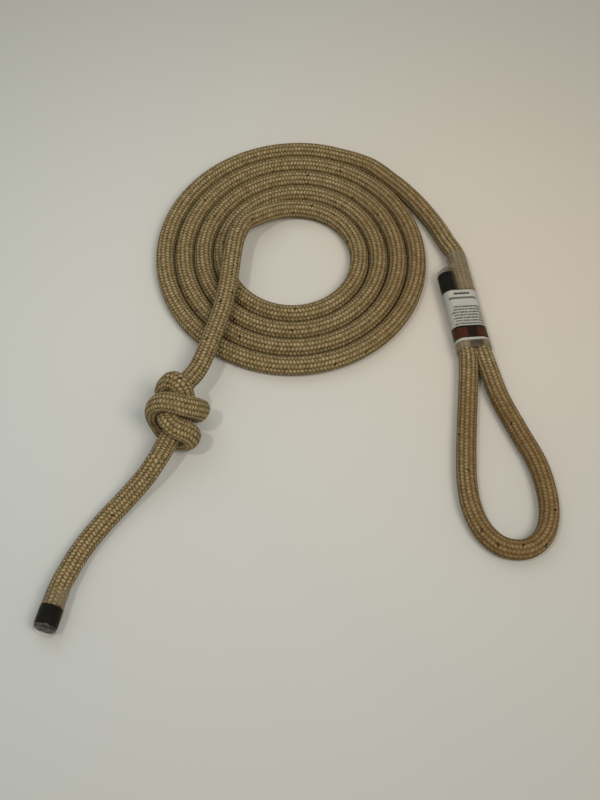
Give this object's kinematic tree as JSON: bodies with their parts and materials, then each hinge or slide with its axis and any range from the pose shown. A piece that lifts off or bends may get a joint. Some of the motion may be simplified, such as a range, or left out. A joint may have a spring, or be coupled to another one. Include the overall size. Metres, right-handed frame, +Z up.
{
  "type": "dynamic climbing rope",
  "caption": "Short dynamic climbing rope with a sewn, sleeved eye, a flat coil, a double overhand stopper knot and a capped free end.",
  "frame": {"origin": "on the resting plane, under the middle of the whole rope's box", "axes": "+Z up from the resting plane; +Y from the sewn eye and the free end towards the coil; +X towards the sewn eye"},
  "size_m": [0.2713, 0.3239, 0.0338],
  "materials": {
    "sheath": "tightly braided polyamide yarn, khaki, dull sheen",
    "core": "undyed polyamide core strands",
    "thread": "dark bonded sewing thread",
    "clear_film": "clear shrunk tube, smooth and glossy",
    "label": "matt white printed label film",
    "tape": "black vinyl tape",
    "fused_end": "melted and set polyamide"
  },
  "bodies": {
    "root": {"eye_sheath": "sheath", "eye_core": "core", "short_leg_sheath": "sheath", "short_leg_core": "core", "long_leg_sheath": "sheath", "long_leg_core": "core", "lead_sheath": "sheath", "lead_core": "core", "coil_sheath": "sheath", "coil_core": "core", "crossing_sheath": "sheath", "crossing_core": "core", "knot_sheath": "sheath", "knot_core": "core", "tail_sheath": "sheath", "tail_core": "core", "eye_stitching": "thread", "eye_sleeve": "clear_film", "eye_label": "label", "short_leg_tape": "tape", "short_leg_seal": "fused_end", "free_end_tape": "tape", "free_end_seal": "fused_end", "free_end_cap": "clear_film"}
  },
  "joints": []
}
